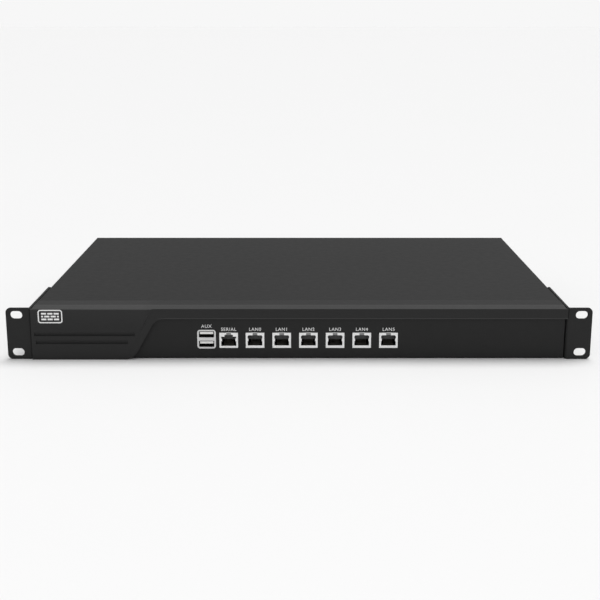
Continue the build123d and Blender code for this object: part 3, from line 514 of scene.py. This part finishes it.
name_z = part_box("lan_shield_0")[1].z + 1.35 * MM
aux_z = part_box("usb_shell")[1].z + 1.6 * MM
NAME_H = 2.7 * MM
for number in range(6):
    x = middle_x(f"lan_shield_{number}")
    printed_word(f"name_lan_{number}", f"LAN{number}", x, name_z, NAME_H)
printed_word("name_serial", "SERIAL", middle_x("serial_shield"), name_z, NAME_H)
printed_word("name_aux", "AUX", middle_x("usb_shell"), aux_z, NAME_H)
print("names at height", round(name_z, 4), "and", round(aux_z, 4))

# %% [markdown]
# ## The badge
# A rounded outline with a small wall of bricks in it, printed on the raised pad. A flat grid face
# gets its corners bevelled for the outline, and an inset cuts the middle out. Each brick is one
# more such face. The ring and ten bricks, two of them cut short, are extruded together as one
# print.

# %% A rounded flat plate, and a ring of it
def rounded_face(bm, width, height, radius, across=0.0, up=0.0):
    """A flat face of that size with rounded corners, about a point of the XY plane."""
    before = set(bm.faces)
    place = Matrix.Translation((across, up, 0)) @ Matrix.Diagonal((width, height, 1, 1))
    made = bmesh.ops.create_grid(bm, x_segments=1, y_segments=1, size=0.5, matrix=place)
    bmesh.ops.bevel(bm, geom=made["verts"], offset=radius, segments=5, profile=0.5,
                    affect="VERTICES", material=-1)
    return next(face for face in bm.faces if face not in before)


def ring(bm, width, height, radius, line):
    """A rounded outline of that line width about the middle of the XY plane."""
    middle = rounded_face(bm, width, height, radius)
    bmesh.ops.inset_individual(bm, faces=[middle], thickness=line, use_even_offset=True)
    bmesh.ops.delete(bm, geom=[middle], context="FACES")


def printed(name, bm, x, y, z, normal, body="case"):
    """A flat drawing in the XY plane, given the ink's thickness and laid on a surface."""
    made = bmesh.ops.extrude_face_region(bm, geom=list(bm.faces), use_keep_orig=True)
    top = [part for part in made["geom"] if isinstance(part, bmesh.types.BMVert)]
    bmesh.ops.translate(bm, verts=top, vec=(0, 0, INK_THICK))
    bmesh.ops.recalc_face_normals(bm, faces=bm.faces)
    mesh = mesh_from(bm, name)
    mesh.transform(laid_on(x, y, z, normal))
    return add_piece(name, mesh, ink.material, body)


# %% Ring and brick wall
BADGE_W, BADGE_H, BADGE_LINE, BADGE_R = 20.1 * MM, 11.3 * MM, 0.9 * MM, 2.2 * MM
BADGE_X, BADGE_Z = -204.2 * MM, 37.2 * MM
BRICK_W, BRICK_H, JOINT, BRICK_R = 4.2 * MM, 1.4 * MM, 1.0 * MM, 0.2 * MM
step, rise = BRICK_W + JOINT, BRICK_H + JOINT
cut = (BRICK_W - JOINT) / 2
end = 1.5 * step - (cut + JOINT) / 2
whole_row = [(-step, BRICK_W), (0, BRICK_W), (step, BRICK_W)]
cut_row = [(-end, cut), (-step / 2, BRICK_W), (step / 2, BRICK_W), (end, cut)]
badge_bm = bmesh.new()
ring(badge_bm, BADGE_W, BADGE_H, BADGE_R, BADGE_LINE)
for up, row in ((-rise, whole_row), (0, cut_row), (rise, whole_row)):
    for across, width in row:
        rounded_face(badge_bm, width, BRICK_H, BRICK_R, across, up)
badge = printed("badge", badge_bm, BADGE_X, face_y, BADGE_Z, TO_FRONT)
print("badge faces:", len(badge.data.polygons))

# %% [markdown]
# ## Signs at the back
# The earth screw carries the usual earth sign: a stem on three bars that get shorter. The rocker
# carries a bar for on and a ring for off. Its two halves lean, so each sign is laid in the plane
# of its own half: the face's centre and normal are read from the rocker's mesh.

# %% Earth sign
rear_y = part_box("rear_panel")[1].y
EARTH_LINE, EARTH_R = 0.45 * MM, 0.1 * MM
STEM_H, STEM_UP = 2.2 * MM, 1.5 * MM
EARTH_BARS, BAR_STEP = (4.2 * MM, 2.8 * MM, 1.4 * MM), 1.0 * MM
earth_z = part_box("earth_screw")[1].z + 5.5 * MM
earth_bm = bmesh.new()
rounded_face(earth_bm, EARTH_LINE, STEM_H, EARTH_R, 0, STEM_UP)
for row, width in enumerate(EARTH_BARS):
    rounded_face(earth_bm, width, EARTH_LINE, EARTH_R, 0, -row * BAR_STEP)
printed("earth_sign", earth_bm, middle_x("earth_screw"), rear_y, earth_z, TO_BACK)
print("earth sign at height", round(earth_z, 4))

# %% Rocker signs
SIGN_H, ON_W, OFF_LINE = 3.2 * MM, 0.6 * MM, 0.5 * MM
rocker_bm = whole_faces("power_rocker")
backward = [face for face in rocker_bm.faces if face.normal.y > 0.7]
halves = sorted(backward, key=lambda face: face.calc_area())[-2:]
halves.sort(key=lambda face: face.calc_center_bounds().z)
places = [(face.calc_center_bounds(), face.normal.copy()) for face in halves]
rocker_bm.free()
on_bm, off_bm = bmesh.new(), bmesh.new()
rounded_face(on_bm, ON_W, SIGN_H, 0.1 * MM)
ring(off_bm, SIGN_H, SIGN_H, 1.59 * MM, OFF_LINE)
for name, drawing, (centre, normal) in zip(("sign_on", "sign_off"), (on_bm, off_bm), places):
    printed(name, drawing, *centre, normal, "rocker")
    print(name, "at height", round(centre.z, 4), "leaning", round(normal.z, 2))

# %% [markdown]
# ## Inside the jacks
# Behind each jack's mouth the eight contact wires climb to a comb of lighter plastic, and a steel
# spring bridges the slot for the plug's latch. Both are small blocks, so a cube is moved, sized
# and bevelled: `create_cube` with a matrix gives the place and size in one step.

# %% Small bevelled blocks
def bevelled_block(bm, low, high, width):
    """A box between two corners with its edges bevelled."""
    low, high = Vector(low), Vector(high)
    size = Matrix.Diagonal((*(high - low), 1))
    made = bmesh.ops.create_cube(bm, size=1, matrix=Matrix.Translation((low + high) / 2) @ size)
    edges = {edge for vert in made["verts"] for edge in vert.link_edges}
    bmesh.ops.bevel(bm, geom=list(edges), offset=width, segments=1, profile=0.5,
                    affect="EDGES", material=-1)


# %% Combs
JACKS = ["serial_shield"] + [f"lan_shield_{number}" for number in range(6)]
TEETH, TOOTH_STEP, TOOTH_GAP = 9, 1.02 * MM, 0.10 * MM
TOOTH_Y, TOOTH_Z = (8.2 * MM, 9.4 * MM), (5.2 * MM, 9.2 * MM)
BAR_HALF, BAR_Y, BAR_Z = 5.9 * MM, (9.0 * MM, 13.0 * MM), (5.0 * MM, 9.4 * MM)
comb_bm = bmesh.new()
for node in JACKS:
    x, foot = middle_x(node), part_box(node)[0]
    for tooth in range(TEETH):
        left = x + (tooth - TEETH / 2) * TOOTH_STEP
        right = left + TOOTH_STEP - TOOTH_GAP
        bevelled_block(comb_bm, (left + TOOTH_GAP, foot.y + TOOTH_Y[0], foot.z + TOOTH_Z[0]),
                       (right, foot.y + TOOTH_Y[1], foot.z + TOOTH_Z[1]), 0.1 * MM)
    bevelled_block(comb_bm, (x - BAR_HALF, foot.y + BAR_Y[0], foot.z + BAR_Z[0]),
                   (x + BAR_HALF, foot.y + BAR_Y[1], foot.z + BAR_Z[1]), 0.2 * MM)
comb_grey = moulded("comb_grey", (0.12, 0.12, 0.12), 0.5)
combs = add_piece("jack_combs", mesh_from(comb_bm, "jack_combs"), comb_grey, "case")
print("comb faces:", len(combs.data.polygons))

# %% Latch springs
SPRING_HALF, SPRING_Y, SPRING_Z = 1.75 * MM, (0.5 * MM, 0.9 * MM), (10.9 * MM, 12.4 * MM)
FOLD_HALF, FOLD_Y, FOLD_Z = 2.3 * MM, (-0.05 * MM, 0.6 * MM), (13.0 * MM, 13.55 * MM)
spring_bm = bmesh.new()
for node in JACKS:
    x, foot = middle_x(node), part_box(node)[0]
    for half, depth, height, width in ((SPRING_HALF, SPRING_Y, SPRING_Z, 0.1 * MM),
                                       (FOLD_HALF, FOLD_Y, FOLD_Z, 0.12 * MM)):
        bevelled_block(spring_bm, (x - half, foot.y + depth[0], foot.z + height[0]),
                       (x + half, foot.y + depth[1], foot.z + height[1]), width)
spring_steel = Finish("spring_steel", (0.22, 0.22, 0.22), 0.45, metallic=0.6)
spring_steel.vary_roughness(spring_steel.noise(900.0), 0.1)
springs = add_piece("latch_springs", mesh_from(spring_bm, "latch_springs"),
                    spring_steel.material, "case")
print("spring faces:", len(springs.data.polygons))

# %% [markdown]
# ## The studio
# A pale floor that runs off to a far horizon, under one wide soft light almost overhead and a
# weak one from the front. Parallel light is used instead of lamp boxes because it falls evenly on
# the floor, however far it goes. The sky lights the object weakly but shows as white, so the
# floor has no edge behind it.

# %% Floor
FLOOR_HALF = 60
floor_bm = bmesh.new()
bmesh.ops.create_grid(floor_bm, x_segments=1, y_segments=1, size=FLOOR_HALF)
floor_mesh = mesh_from(floor_bm, "floor")
floor = bpy.data.objects.new("floor", floor_mesh)
bpy.context.collection.objects.link(floor)
pale = Finish("pale_floor", (0.80, 0.80, 0.80), 0.6, Specular_IOR_Level=0.1)
pale.vary_roughness(pale.noise(3.0), 0.06)
floor_mesh.materials.append(pale.material)
print("floor is", 2 * FLOOR_HALF, "metres wide")

# %% Sky
SKY_LIGHT, SKY_SEEN = 0.34, 0.93
world = bpy.data.worlds.new("studio")
bpy.context.scene.world = world
world.use_nodes = True
sky = world.node_tree.nodes["Background"]
sky.inputs["Color"].default_value = (1, 1, 1, 1)
seen = world.node_tree.nodes.new("ShaderNodeLightPath")
brightness = world.node_tree.nodes.new("ShaderNodeMapRange")
brightness.inputs["To Min"].default_value = SKY_LIGHT
brightness.inputs["To Max"].default_value = SKY_SEEN
world.node_tree.links.new(seen.outputs["Is Camera Ray"], brightness.inputs["Value"])
world.node_tree.links.new(brightness.outputs["Result"], sky.inputs["Strength"])
print("sky lights with", SKY_LIGHT, "and shows as", SKY_SEEN)


# %% Lights
def soft_light(name, energy, spread, direction):
    """Parallel light from a disc of sky that many degrees wide."""
    lamp = bpy.data.lights.new(name, "SUN")
    lamp.energy = energy
    lamp.angle = radians(spread)
    light = bpy.data.objects.new(name, lamp)
    light.rotation_euler = Vector(direction).to_track_quat("-Z", "Y").to_euler()
    bpy.context.collection.objects.link(light)
    print(name, "energy", energy)


soft_light("overhead", 2.65, 45, (-0.20, -0.15, -1))
soft_light("front_fill", 0.55, 60, (0, 1, -0.35))

# %% Camera
STAND_RIGHT, STAND_BACK, STAND_UP = 0.00075, 0.876, 0.2718
LOOK_DOWN = 14.17
ear_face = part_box("ear_left")[0].y
camera_data = bpy.data.cameras.new("camera")
camera_data.lens = 66.2
camera_data.sensor_width = 36
camera = bpy.data.objects.new("camera", camera_data)
camera.location = (STAND_RIGHT, ear_face - STAND_BACK, STAND_UP)
camera.rotation_euler = (radians(90 - LOOK_DOWN), 0, 0)
bpy.context.collection.objects.link(camera)
bpy.context.scene.camera = camera
bpy.context.scene.view_settings.view_transform = "Standard"
print("camera", STAND_BACK, "metres before the ears, looking down", LOOK_DOWN, "degrees")
